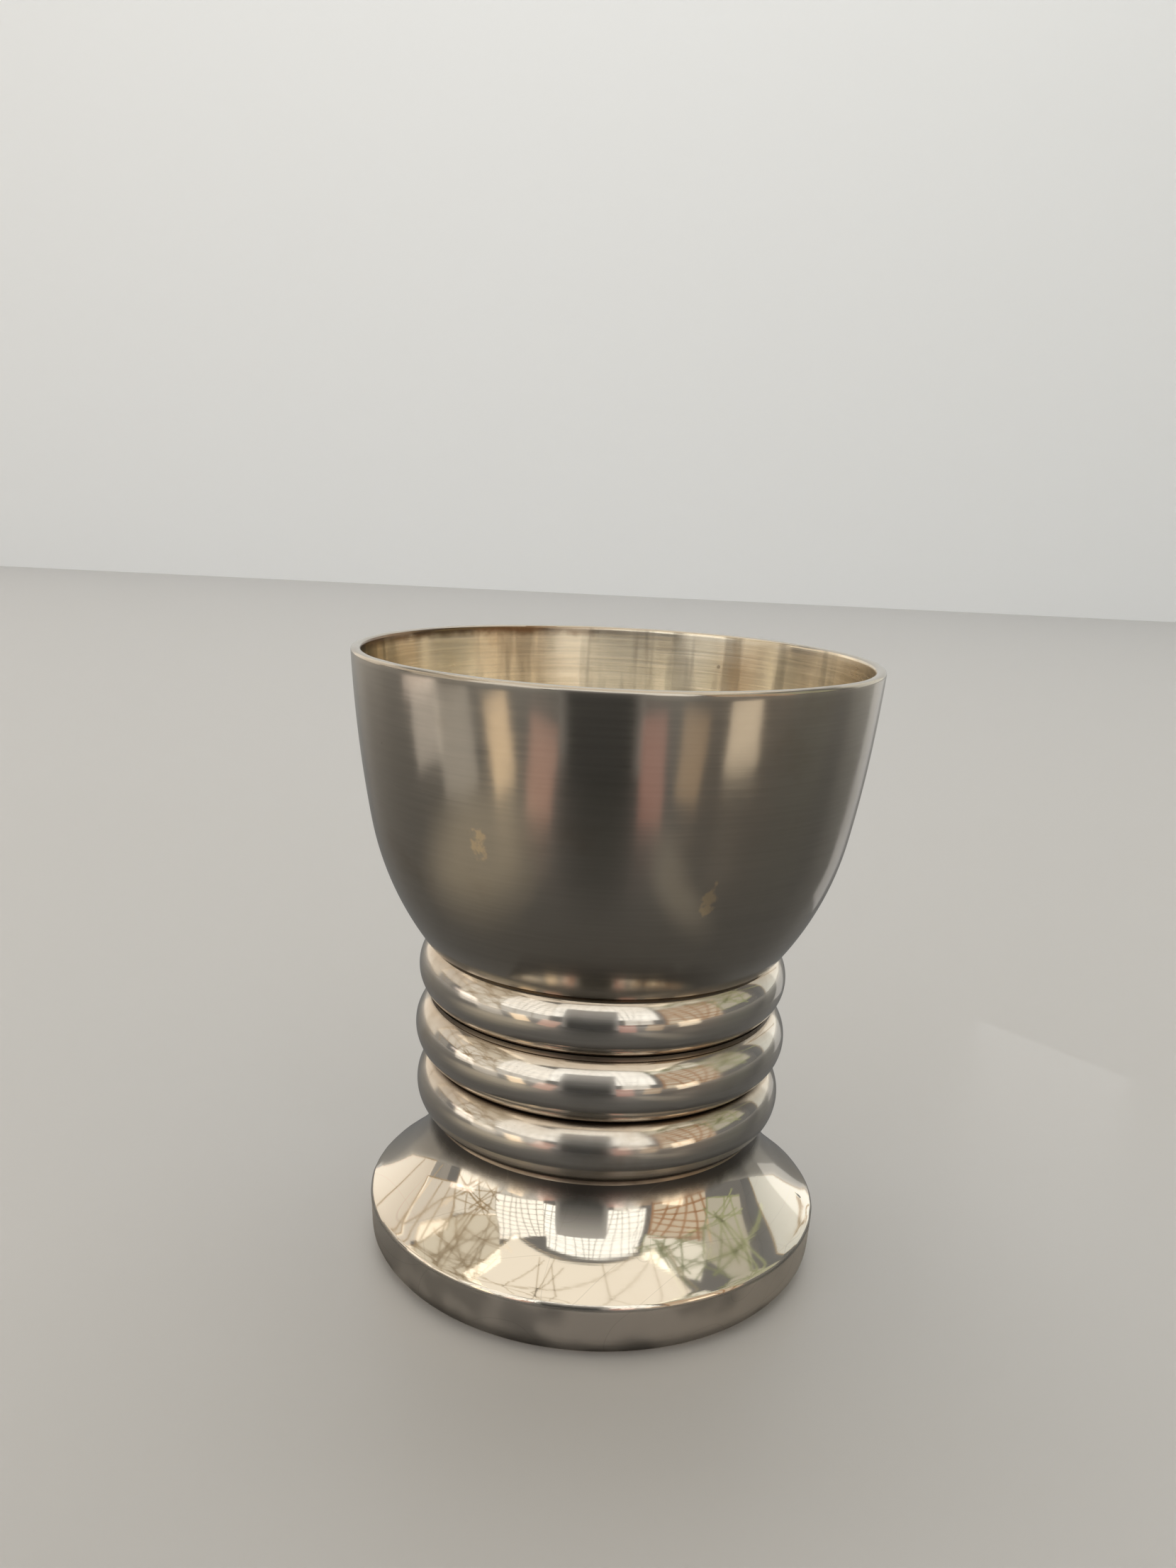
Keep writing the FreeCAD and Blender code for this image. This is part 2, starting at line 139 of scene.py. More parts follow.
class Turning:
    """A piece turned about the Z axis, from an outline of runs and arcs."""

    def __init__(self, name: str, *outline: Point | Arc) -> None:
        """Spin the outline into a mesh.

        Args:
            name: Name of the piece.
            outline: Corner points and arcs in anticlockwise order. Straight runs join
                what doesn't meet, and an outline that is off the axis is closed.
        """
        stretches = self.joined(outline)
        chain = [point for stretch in stretches for point in stretch.points()]
        self.object = self.first_vertex(name, stretches[0].start)
        self.extrude(stretches[0].start, chain)
        self.spin()

    @staticmethod
    def joined(outline: tuple[Point | Arc, ...]) -> list[Run | Arc]:
        """Return the outline as stretches that each start where the last one ended.

        Args:
            outline: Corner points and arcs.

        Returns:
            Runs and arcs, closed back to the start unless both ends are on the axis.
        """
        ends = [(item.start, item.end) if isinstance(item, Arc) else (item, item)
                for item in outline]
        on_axis = ends[0][0][0] == 0 and ends[-1][1][0] == 0
        stretches: list[Run | Arc] = []
        for number, item in enumerate(outline):
            if isinstance(item, Arc):
                stretches.append(item)
            if number == len(outline) - 1 and on_axis:
                break
            here, there = ends[number][1], ends[(number + 1) % len(outline)][0]
            if (Vector(there) - Vector(here)).length > WELD:
                stretches.append(Run(here, there))
        return stretches

    @staticmethod
    def first_vertex(name: str, place: Point) -> bpy.types.Object:
        """Start a mesh with one vertex, left selected in edit mode.

        Args:
            name: Name of the new object.
            place: Where the vertex is, as (radius, height).

        Returns:
            The new object.
        """
        bpy.ops.object.select_all(action="DESELECT")
        bpy.ops.mesh.primitive_circle_add(vertices=3, radius=WELD, fill_type="NOTHING",
                                          location=(place[0], 0, place[1]))
        piece = bpy.context.object
        piece.name = piece.data.name = name
        bpy.ops.object.transform_apply(location=True, rotation=True, scale=True)
        bpy.ops.object.mode_set(mode="EDIT")
        bpy.ops.mesh.select_mode(type="VERT")
        bpy.ops.mesh.select_all(action="SELECT")
        bpy.ops.mesh.merge(type="CENTER")
        return piece

    @staticmethod
    def extrude(start: Point, chain: list[Point]) -> None:
        """Draw the half-section by extruding the selected vertex from point to point."""
        here = Vector((start[0], 0, start[1]))
        for across, up in chain:
            there = Vector((across, 0, up))
            bpy.ops.mesh.extrude_region_move(TRANSFORM_OT_translate={"value": there - here})
            here = there

    @staticmethod
    def spin() -> None:
        """Spin the half-section once round the Z axis and weld it into a closed skin."""
        bpy.ops.mesh.select_all(action="SELECT")
        bpy.ops.mesh.remove_doubles(threshold=WELD)
        bpy.ops.mesh.select_all(action="SELECT")
        bpy.ops.mesh.spin(steps=AROUND, angle=math.tau, center=(0, 0, 0), axis=(0, 0, 1))
        bpy.ops.mesh.select_all(action="SELECT")
        bpy.ops.mesh.remove_doubles(threshold=WELD)
        bpy.ops.mesh.normals_make_consistent(inside=False)
        bpy.ops.object.mode_set(mode="OBJECT")

    def bevel(self, radius: float, *rims: Point, segments: int = 7) -> "Turning":
        """Round the edge loops at these places.

        Args:
            radius: How far each side of the edge is cut back.
            rims: Places of the edges, as (radius, height).
            segments: Faces across the rounding.

        Returns:
            The turning itself.
        """
        self.select_edges(rims)
        bpy.ops.mesh.bevel(offset_type="OFFSET", offset=radius, segments=segments,
                           profile=0.5, affect="EDGES")
        bpy.ops.object.mode_set(mode="OBJECT")
        return self

    def select_edges(self, rims: tuple[Point, ...]) -> None:
        """Select the edge loops at these (radius, height) places, in edit mode."""
        select_only(self.object)
        mesh = self.object.data
        on_rim = [any(math.hypot(math.hypot(v.co.x, v.co.y) - across, v.co.z - up) < 2 * WELD
                      for across, up in rims) for v in mesh.vertices]
        mesh.vertices.foreach_set("select", [False] * len(mesh.vertices))
        mesh.polygons.foreach_set("select", [False] * len(mesh.polygons))
        mesh.edges.foreach_set("select", [on_rim[e.vertices[0]] and on_rim[e.vertices[1]]
                                          for e in mesh.edges])
        bpy.ops.object.mode_set(mode="EDIT")
        bpy.ops.mesh.select_mode(type="EDGE")

    def wear(self, name: str, place: Point, reach: float, depth: float, grain: float,
             direction: str = "NORMAL") -> "Turning":
        """Make the metal near one edge slightly uneven, fading out over a reach.

        Args:
            name: Name of the texture and vertex group.
            place: Where the wear is greatest, as (radius, height).
            reach: Distance over which it fades out.
            depth: How far the metal moves at most.
            grain: Size of the waves.
            direction: The displacement's direction.

        Returns:
            The turning itself.
        """
        piece = self.object
        group = piece.vertex_groups.new(name=name)
        for vertex in piece.data.vertices:
            away = math.hypot(math.hypot(vertex.co.x, vertex.co.y) - place[0],
                              vertex.co.z - place[1])
            if away < reach:
                group.add([vertex.index], (1 - away / reach) ** 2, "REPLACE")
        texture = bpy.data.textures.new(name, "CLOUDS")
        texture.noise_scale = grain
        texture.noise_depth = 2
        waves = piece.modifiers.new(name, "DISPLACE")
        waves.texture = texture
        waves.texture_coords = "LOCAL"
        waves.vertex_group = name
        waves.direction = direction
        waves.mid_level = 0.5
        waves.strength = 2 * depth
        select_only(piece)
        bpy.ops.object.modifier_apply(modifier=name)
        return self

    def finish(self, nodes: tuple[str, ...], outside: bpy.types.Material,
               inside: bpy.types.Material | None = None) -> bpy.types.Object:
        """Smooth the piece, give it its finish and put it in its nodes' place.

        Args:
            nodes: CAD nodes that the piece stands for.
            outside: The finish.
            inside: Another finish for the faces inside it, below the lip's rounding.

        Returns:
            The finished object.
        """
        select_only(self.object)
        bpy.ops.object.shade_smooth_by_angle(angle=SMOOTH_ANGLE)
        self.object.data.materials.append(outside)
        if inside:
            self.object.data.materials.append(inside)
            top = max(corner[2] for corner in self.object.bound_box)
            for face in self.object.data.polygons:
                outwards = Vector((face.center.x, face.center.y, 0.0)).dot(face.normal)
                below_lip = face.center.z < top - 0.2 * MM
                face.material_index = int(below_lip and (face.normal.z > 0.9 or outwards < 0))
        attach(self.object, "root")
        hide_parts(*nodes)
        log.info("%s: %d faces, stands for %s", self.object.name,
                 len(self.object.data.polygons), ", ".join(nodes))
        return self.object


# ---------------------------------------------------------------- finishes


CLOUDS = 85.0           # noise scales, per metre: larger ones make smaller marks
WAVES = 130.0
RAGGED_EDGE = 420.0
BLEMISH_EDGE = 900.0
SPECKS = 330.0
TURNED_LINES = 2600.0
RUNS = (240.0, 240.0, 14.0)
SCRATCHES = ((0.35, 60.0), (-0.5, 80.0), (1.3, 50.0))   # turn in radians, and scale
SMOOTH_ANGLE = math.radians(32)
SHARPEST = 0.02         # least roughness of polished silver


class Sheet:
    """A node tree for one surface, drawn by short calls."""

    def __init__(self, name: str) -> None:
        """Start a material with its shader and the object's own coordinates."""
        self.material = bpy.data.materials.new(name)
        self.material.use_nodes = True
        self.tree = self.material.node_tree
        self.shader = self.tree.nodes["Principled BSDF"]
        self.place = self.node("ShaderNodeTexCoord").outputs["Object"]

    def node(self, kind: str, settings: dict[str, str] | None = None,
             **inputs: Value) -> bpy.types.Node:
        """Add a node.

        Args:
            kind: The node's type.
            settings: Properties of the node itself.
            **inputs: Sockets by name with underscores for spaces; a socket is linked
                and anything else is set.

        Returns:
            The new node.
        """
        node = self.tree.nodes.new(kind)
        for key, value in (settings or {}).items():
            setattr(node, key, value)
        for key, value in inputs.items():
            self.put(node.inputs[key.replace("_", " ")], value)
        return node

    def put(self, socket: bpy.types.NodeSocket, value: Value) -> None:
        """Link a socket to another, or set it to a plain value."""
        if isinstance(value, bpy.types.NodeSocket):
            self.tree.links.new(value, socket)
        else:
            socket.default_value = value

    def shade(self, name: str, value: Value) -> None:
        """Link or set one of the shader's sockets."""
        self.put(self.shader.inputs[name], value)

    def math(self, operation: str, *values: Value) -> bpy.types.NodeSocket:
        """Return the result of a Math node on one to three values."""
        node = self.node("ShaderNodeMath", {"operation": operation})
        for socket, value in zip(node.inputs, values):
            self.put(socket, value)
        return node.outputs[0]

    def vector(self, operation: str, *values: Value) -> bpy.types.NodeSocket:
        """Return the result of a Vector Math node."""
        node = self.node("ShaderNodeVectorMath", {"operation": operation})
        for socket, value in zip((s for s in node.inputs if s.enabled), values):
            self.put(socket, value)
        return node.outputs["Value" if operation == "LENGTH" else "Vector"]

    def noise(self, place: bpy.types.NodeSocket, scale: float, detail: float = 2.0,
              roughness: float = 0.5) -> bpy.types.NodeSocket:
        """Return a noise value between 0 and 1 at a place."""
        return self.node("ShaderNodeTexNoise", Vector=place, Scale=scale, Detail=detail,
                         Roughness=roughness).outputs["Fac"]

    def ramp(self, value: bpy.types.NodeSocket, low: float, high: float,
             start: float = 0.0, end: float = 1.0) -> bpy.types.NodeSocket:
        """Return a value eased from start to end as another goes from low to high."""
        return self.node("ShaderNodeMapRange", {"interpolation_type": "SMOOTHSTEP"}, Value=value,
                         From_Min=low, From_Max=high, To_Min=start, To_Max=end).outputs[0]

    def mix(self, share: Value, first: Value, second: Value) -> bpy.types.NodeSocket:
        """Return a colour mixed from two, with a share of the second."""
        node = self.node("ShaderNodeMix", {"data_type": "RGBA"})
        colours = [socket for socket in node.inputs if socket.type == "RGBA"]
        self.put(node.inputs[0], share)
        self.put(colours[0], first)
        self.put(colours[1], second)
        return next(socket for socket in node.outputs if socket.type == "RGBA")

    def see_through_from_below(self) -> None:
        """Make the back of the surface clear."""
        back = self.node("ShaderNodeNewGeometry").outputs["Backfacing"]
        both = self.node("ShaderNodeMixShader", Fac=back)
        self.put(both.inputs[1], self.shader.outputs[0])
        self.put(both.inputs[2], self.node("ShaderNodeBsdfTransparent").outputs[0])
        self.put(self.tree.nodes["Material Output"].inputs["Surface"], both.outputs[0])


class Along(Enum):
    """What a band of a turned surface follows."""
    RADIUS = "radius"
    HEIGHT = "height"


@dataclass(frozen=True)
class Band:
    """A stretch of a turned surface with tarnish, painted shade or a painted reflection, or a
    duller polish.

    Attributes:
        along: Whether it follows the radius or the height.
        full: Where it is strongest.
        clear: Where it has faded out.
        mark_colour: Its colour.
        strength: How much of the silver it hides where it is strongest.
        ragged: How far its edge wanders.
        dull: Roughness where it is strongest, or None to leave the polish.
        left_only: Whether it fades out towards +X.
        patchy: Whether wear has thinned it in places.
    """
    along: Along
    full: float
    clear: float
    mark_colour: Colour = (0.10, 0.07, 0.05, 1.0)
    strength: float = 1.0
    ragged: float = 0.0
    dull: float | None = None
    left_only: bool = False
    patchy: bool = False


@dataclass(frozen=True)
class Blemish:
    """One stained or worn spot with a ragged edge.

    Attributes:
        place: Its middle.
        size: Its radius.
        mark_colour: Its colour.
        strength: How much of the silver it hides.
    """
    place: Place
    size: float
    mark_colour: Colour
    strength: float = 1.0


@dataclass(frozen=True)
class PlateFinish:
    """Silver plate with a thin uneven tarnish and the marks of the lathe.

    Attributes:
        name: Name of the material.
        silver: Colour of the clean plate.
        film: Colour where the tarnish is thickest.
        share: How much of the surface the film covers, 0 to 1.
        polish: Roughness where it is best kept.
        haze: Roughness where it is dullest.
        lean: How much the turned lines follow the radius beside the height.
        lines: Height of the turned lines.
        waves: Height of the slow unevenness left by spinning.
        specks: How dark the small spots of tarnish are, 0 to 1.
        stretch: Anisotropy across the lines.
        scratches: How much the stray scratches show, 0 to 1.
        grain: How much the turned lines vary the colour, 0 to 1.
        runs: How much upright streaks of painted reflection darken the colour, 0 to 1.
        bands: Bands of tarnish, painted shade or painted reflection, or of duller polish.
        blemishes: Single spots.
    """
    name: str
    silver: Colour
    film: Colour
    share: float = 0.4
    polish: float = 0.05
    haze: float = 0.12
    lean: float = 1.0
    lines: float = 0.0
    waves: float = 0.0
    specks: float = 0.5
    stretch: float = 0.0
    scratches: float = 0.0
    grain: float = 0.0
    runs: float = 0.0
    bands: tuple[Band, ...] = ()
    blemishes: tuple[Blemish, ...] = ()

    def build(self) -> bpy.types.Material:
        """Return the material."""
        sheet = Sheet(self.name)
        across = sheet.vector("LENGTH", sheet.vector("MULTIPLY", sheet.place, (1, 1, 0)))
        up = sheet.node("ShaderNodeSeparateXYZ", Vector=sheet.place).outputs["Z"]
        turned = self.turned(sheet, sheet.math("MULTIPLY_ADD", across, self.lean, up))
        cloud = sheet.noise(sheet.place, CLOUDS, 5.0, 0.6)
        film = sheet.ramp(cloud, 0.7 - 0.5 * self.share, 1.0 - 0.5 * self.share)
        colour = sheet.mix(film, self.silver, self.film)
        if self.grain:
            fine = sheet.ramp(sheet.noise(turned, 1.0, 3.0, 0.7), 0.3, 0.7)
            shade = sheet.math("MULTIPLY_ADD", fine, self.grain, 1.0 - self.grain)
            colour = sheet.vector("SCALE", colour, shade)
        # Painted reflection: upright streaks like the room's windows seen in the metal.
        if self.runs:
            upright = sheet.vector("MULTIPLY", sheet.place, RUNS)
            run = sheet.ramp(sheet.noise(upright, 1.0, 3.0, 0.6), 0.36, 0.50, 1 - self.runs, 1.0)
            colour = sheet.vector("SCALE", colour, run)
        masks = [(band, self.mask(sheet, band, across, up)) for band in self.bands]
        # Bands mix in tarnish, painted shade in creases and hollows, and painted reflections.
        for band, mask in masks:
            colour = sheet.mix(mask, colour, band.mark_colour)
        for blemish in self.blemishes:
            colour = self.spotted(sheet, blemish, colour)
        if self.scratches:
            colour = self.scratched(sheet, colour)
        sheet.shade("Base Color", self.speckled(sheet, colour))
        sheet.shade("Metallic", 1.0)
        self.roughen(sheet, cloud, turned, masks)
        self.raise_marks(sheet, turned)
        return sheet.material

    @staticmethod
    def turned(sheet: Sheet, along: bpy.types.NodeSocket) -> bpy.types.NodeSocket:
        """Return a place that changes fast along the half-section and slowly round it."""
        heading = sheet.vector("NORMALIZE", sheet.vector("MULTIPLY", sheet.place, (1, 1, 0)))
        lines = sheet.node("ShaderNodeCombineXYZ", Z=sheet.math("MULTIPLY", along, TURNED_LINES))
        return sheet.vector("MULTIPLY_ADD", heading, (1.8, 1.8, 0), lines.outputs[0])

    @staticmethod
    def mask(sheet: Sheet, band: Band, across: bpy.types.NodeSocket,
             up: bpy.types.NodeSocket) -> bpy.types.NodeSocket:
        """Return how strong a band is at each point."""
        measure = across if band.along is Along.RADIUS else up
        if band.ragged:
            wander = sheet.math("SUBTRACT", sheet.noise(sheet.place, RAGGED_EDGE, 4.0, 0.65), 0.5)
            measure = sheet.math("MULTIPLY_ADD", wander, 2 * band.ragged, measure)
        low, high = sorted((band.full, band.clear))
        ends = (band.strength, 0.0) if band.full < band.clear else (0.0, band.strength)
        mask = sheet.ramp(measure, low, high, *ends)
        if band.left_only:
            side = sheet.node("ShaderNodeSeparateXYZ", Vector=sheet.place).outputs["X"]
            mask = sheet.math("MULTIPLY", mask, sheet.ramp(side, -14 * MM, 10 * MM, 1.0, 0.1))
        if band.patchy:
            wear = sheet.ramp(sheet.noise(sheet.place, WAVES, 2.0, 0.5), 0.4, 0.6, 0.6, 1.0)
            mask = sheet.math("MULTIPLY", mask, wear)
        return mask

    @staticmethod
    def spotted(sheet: Sheet, blemish: Blemish,
                colour: bpy.types.NodeSocket) -> bpy.types.NodeSocket:
        """Return the colour with one blemish over it."""
        away = sheet.vector("SUBTRACT", sheet.place, blemish.place)
        away = sheet.vector("LENGTH", sheet.vector("MULTIPLY", away, (1.6, 1.6, 0.5)))
        wander = sheet.math("SUBTRACT", sheet.noise(sheet.place, BLEMISH_EDGE, 3.0, 0.6), 0.5)
        away = sheet.math("MULTIPLY_ADD", wander, 3.2 * blemish.size, away)
        mask = sheet.ramp(away, 0.35 * blemish.size, blemish.size, blemish.strength, 0.0)
        return sheet.mix(mask, colour, blemish.mark_colour)

    def scratched(self, sheet: Sheet, colour: bpy.types.NodeSocket) -> bpy.types.NodeSocket:
        """Return the colour with stray scratches in three directions over it."""
        for turn, scale in SCRATCHES:
            turned = sheet.node("ShaderNodeVectorRotate", {"rotation_type": "Z_AXIS"},
                                Vector=sheet.place, Angle=turn).outputs[0]
            stretched = sheet.vector("MULTIPLY", turned, (scale, 6.0, scale))
            line = sheet.math("COMPARE", sheet.noise(stretched, 1.0, 1.0, 0.5), 0.52, 0.0009)
            colour = sheet.mix(sheet.math("MULTIPLY", line, self.scratches), colour,
                               (0.34, 0.29, 0.23, 1.0))
        return colour

    def speckled(self, sheet: Sheet, colour: bpy.types.NodeSocket) -> bpy.types.NodeSocket:
        """Return the colour with a few small dark spots over it."""
        cells = sheet.node("ShaderNodeTexVoronoi", Vector=sheet.place, Scale=SPECKS,
                           Randomness=1.0)
        rare = sheet.node("ShaderNodeSeparateColor", Color=cells.outputs["Color"]).outputs[0]
        size = sheet.math("MULTIPLY", sheet.ramp(rare, 0.93, 1.0), 0.16)
        speck = sheet.math("LESS_THAN", cells.outputs["Distance"], size)
        return sheet.mix(sheet.math("MULTIPLY", speck, self.specks), colour,
                         (0.16, 0.12, 0.09, 1.0))

    def roughen(self, sheet: Sheet, cloud: bpy.types.NodeSocket, turned: bpy.types.NodeSocket,
                masks: list[tuple[Band, bpy.types.NodeSocket]]) -> None:
        """Vary the roughness between polished and hazy areas, lines and bands."""
        rough = sheet.ramp(cloud, 0.35, 0.7, self.polish, self.haze)
        fine = sheet.math("SUBTRACT", sheet.noise(turned, 1.0, 3.0, 0.7), 0.5)
        rough = sheet.math("MULTIPLY_ADD", fine, 0.5 * self.haze, rough)
        for band, mask in masks:
            if band.dull is not None:
                step = sheet.math("SUBTRACT", band.dull, rough)
                share = sheet.math("DIVIDE", mask, band.strength)
                rough = sheet.math("MULTIPLY_ADD", step, share, rough)
        sheet.shade("Roughness", sheet.math("MAXIMUM", rough, SHARPEST))
        if self.stretch:
            sheet.shade("Anisotropic", self.stretch)
            sheet.shade("Anisotropic Rotation", 0.25)
            tangent = sheet.node("ShaderNodeTangent", {"direction_type": "RADIAL", "axis": "Z"})
            sheet.shade("Tangent", tangent.outputs[0])

    def raise_marks(self, sheet: Sheet, turned: bpy.types.NodeSocket) -> None:
        """Raise the turned lines and the slow waves by bump."""
        lines = sheet.math("MULTIPLY", sheet.noise(turned, 1.0, 2.0, 0.6), self.lines)
        slow = sheet.noise(sheet.place, WAVES, 2.0, 0.5)
        height = sheet.math("MULTIPLY_ADD", slow, self.waves, lines)
        bump = sheet.node("ShaderNodeBump", Height=height, Strength=1.0, Distance=1.0)
        sheet.shade("Normal", bump.outputs[0])


BLOTCH_LEFT = (-11.4 * MM, -22.2 * MM, 49.2 * MM)
BLOTCH_RIGHT = (9.1 * MM, -22.3 * MM, 45.1 * MM)
FOOT_PIT = (22.3 * MM, -3.2 * MM, 6.8 * MM)

CUP_OUTSIDE = PlateFinish(
    "cup_plate", silver=(0.55, 0.50, 0.43, 1.0), film=(0.46, 0.40, 0.325, 1.0), polish=0.13,
    haze=0.19, waves=0.045 * MM, lines=0.0014 * MM, stretch=0.3, grain=0.06, bands=(
        # Paler at the foot of the belly: a painted reflection of the top ring below it.
        Band(Along.HEIGHT, 34.2 * MM, 37.5 * MM, (0.70, 0.65, 0.57, 1.0), 0.8, 0.25 * MM),),
    blemishes=(
        Blemish(BLOTCH_LEFT, 1.1 * MM, (1.0, 0.78, 0.50, 1.0), 0.55),
        Blemish(BLOTCH_RIGHT, 1.2 * MM, (1.0, 0.78, 0.50, 1.0), 0.7)))
# The lining's runs are painted reflections of windows.
CUP_INSIDE = PlateFinish(
    "cup_lining", silver=(1.0, 0.91, 0.75, 1.0), film=(0.83, 0.66, 0.46, 1.0), polish=0.16,
    haze=0.28, waves=0.03 * MM, lines=0.006 * MM, stretch=0.5, grain=0.18, runs=0.38, bands=(
        # Darker deep inside the cup: painted shade.
        Band(Along.HEIGHT, 35.5 * MM, 44.0 * MM, (0.56, 0.46, 0.33, 1.0), 0.8),
        # A dark brown line just under the lip, on the left only: painted shade.
        Band(Along.HEIGHT, 63.6 * MM, 62.5 * MM, (0.16, 0.08, 0.03, 1.0), 0.9, 0.6 * MM,
             left_only=True),))
RING_SILVER = PlateFinish(
    "ring_plate", silver=(0.78, 0.73, 0.66, 1.0), film=(0.58, 0.50, 0.40, 1.0), share=0.35,
    polish=0.09, haze=0.17, waves=0.02 * MM, lean=0.4, lines=0.005 * MM, specks=0.3, grain=0.08,
    scratches=0.05, bands=(
        # Browner towards the creases: partly tarnish, partly painted shade and painted warm
        # reflection.
        Band(Along.RADIUS, 18.1 * MM, 19.2 * MM, (0.40, 0.30, 0.20, 1.0), 0.6, 0.3 * MM),
        # Near black in the creases: painted shade.
        Band(Along.RADIUS, 17.9 * MM, 18.35 * MM, (0.10, 0.075, 0.055, 1.0), 0.85, 0.12 * MM,
             dull=0.3),))
FOOT_SILVER = PlateFinish(
    "foot_plate", silver=(0.80, 0.74, 0.65, 1.0), film=(0.68, 0.58, 0.45, 1.0), share=0.3,
    polish=0.05, haze=0.09, waves=0.014 * MM, lean=-1.0, lines=0.0015 * MM, scratches=0.14,
    bands=(
        # Near black round the collar, in the crease under the lowest ring: painted shade.
        Band(Along.RADIUS, 17.55 * MM, 18.05 * MM, (0.05, 0.038, 0.03, 1.0), 0.85, 0.15 * MM,
             dull=0.3),
        # Paler, duller and patchy below the band's top edge: satin wear, with painted sheen in its
        # paler colour.
        Band(Along.HEIGHT, 5.1 * MM, 5.45 * MM, (0.90, 0.85, 0.78, 1.0), 0.85, dull=0.62,
             patchy=True)),
    blemishes=(Blemish(FOOT_PIT, 0.55 * MM, (0.04, 0.03, 0.03, 1.0)),))
MEASURE_SILVER = PlateFinish(
    "measure_plate", silver=(0.78, 0.72, 0.63, 1.0), film=(0.55, 0.45, 0.33, 1.0), share=0.5,
    polish=0.08, haze=0.18, lines=0.0006 * MM)
BASE_SILVER = PlateFinish(
    "base_plate", silver=(0.74, 0.69, 0.61, 1.0), film=(0.50, 0.41, 0.31, 1.0), share=0.5,
    polish=0.15, haze=0.3, lines=0.001 * MM)
SOLDER = PlateFinish(
    "solder", silver=(0.30, 0.24, 0.18, 1.0), film=(0.12, 0.09, 0.065, 1.0), share=0.5,
    polish=0.25, haze=0.45)


# ---------------------------------------------------------------- sub-assemblies


@dataclass
class Cup:
    """The large cup: a flat bottom, a full belly and a nearly straight side."""
    lip_radius: float = 26.7 * MM
    wall: float = 1.0 * MM
    base_radius: float = 18.63 * MM
    belly_joint: Point = (24.4767 * MM, 46.9 * MM)
    belly_radius: float = 31.0 * MM
    side_radius: float = 131.0 * MM
    floor_radius: float = 18.05 * MM
    floor_round: float = 2.1 * MM
    lip_round: float = 0.42 * MM

    def build(self) -> None:
        """Turn the cup."""
        low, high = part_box("upper_cup")
        belly = Arc((self.base_radius, low.z), self.belly_joint, self.belly_radius)
        side = Arc(self.belly_joint, (self.lip_radius, high.z), self.side_radius)
        lip_inside = (self.lip_radius - self.wall, high.z)
        floor = low.z + self.wall
        inner_side = Arc(lip_inside, side.inset(self.wall).end, self.side_radius - self.wall, True)
        inner_belly = Arc(inner_side.end, (self.floor_radius, floor),
                          self.belly_radius - self.wall, True)
        cup = Turning("cup", (0.0, low.z), belly, side, inner_side, inner_belly, (0.0, floor))
        cup.bevel(self.lip_round, (self.lip_radius, high.z), lip_inside)
        cup.bevel(self.floor_round, (self.floor_radius, floor))
        cup.wear("lip_wear", (self.lip_radius, high.z), 7 * MM, 0.11 * MM, 16 * MM)
        cup.finish(("upper_cup",), CUP_OUTSIDE.build(), CUP_INSIDE.build())


@dataclass
class Neck:
    """Three turned rings and the solder in the creases beside them."""
    bore: float = 17.07 * MM
    face_radius: float = 3.8 * MM
    edge_round: float = 1.0 * MM
    root: float = 17.38 * MM
    seam_reach: float = 18.15 * MM
    seam_hollow: float = 0.9 * MM
    foot_seam_hollow: float = 0.9 * MM

    def build(self, solder: bpy.types.Material) -> None:
        """Turn the rings and run the seams."""
        silver = RING_SILVER.build()
        for name in ("upper", "middle", "lower"):
            self.ring(name, silver)
        self.seams(solder)

    def ring(self, name: str, silver: bpy.types.Material) -> None:
        """Turn one ring.

        Args:
            name: Which ring it is.
            silver: Its finish.
        """
        low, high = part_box("ring_" + name)
        half = (high.z - low.z) / 2
        shoulder = high.x - self.face_radius + math.sqrt(self.face_radius ** 2 - half ** 2)
        face = Arc((shoulder, low.z), (shoulder, high.z), self.face_radius)
        ring = Turning("neck_ring_" + name, (self.bore, low.z), face, (self.bore, high.z))
        ring.bevel(self.cut_back(half), face.start, face.end)
        ring.finish(("ring_" + name,), silver)

    def cut_back(self, half: float) -> float:
        """Return how far a ring's edge rounding reaches along the ring's flat end.

        Args:
            half: Half the ring's height.

        Returns:
            The distance from the sharp edge to where the rounding starts.
        """
        sharp = math.sqrt(self.face_radius ** 2 - half ** 2)
        start = math.sqrt((self.face_radius - self.edge_round) ** 2
                          - (half - self.edge_round) ** 2)
        return sharp - start

    def seams(self, solder: bpy.types.Material) -> None:
        """Run the solder between the rings, and above and below them."""
        middle, upper = (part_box("ring_" + name) for name in ("middle", "upper"))
        low, high = (corner.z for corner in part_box("neck_solder_seam"))
        hollow = Arc((self.seam_reach, low), (self.seam_reach, high), self.seam_hollow, True)
        neck = Turning("neck_solder", (self.bore, middle[1].z), (self.root, middle[1].z), hollow,
                       (self.root, upper[0].z), (self.bore, upper[0].z))
        neck.finish(("neck_solder_seam",), solder)
        low, high = (corner.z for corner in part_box("foot_solder_seam"))
        hollow = Arc((Foot.collar_radius, low), (self.root, high), self.foot_seam_hollow, True)
        foot = Turning("foot_solder", (self.bore, low), hollow, (self.bore, high))
        foot.finish(("foot_solder_seam",), solder)
        low, high = (corner.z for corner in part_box("cup_solder_seam"))
        film = Turning("cup_solder", (self.bore, low), (self.root, low), (self.root, high),
                       (self.bore, high))
        film.finish(("cup_solder_seam",), solder)


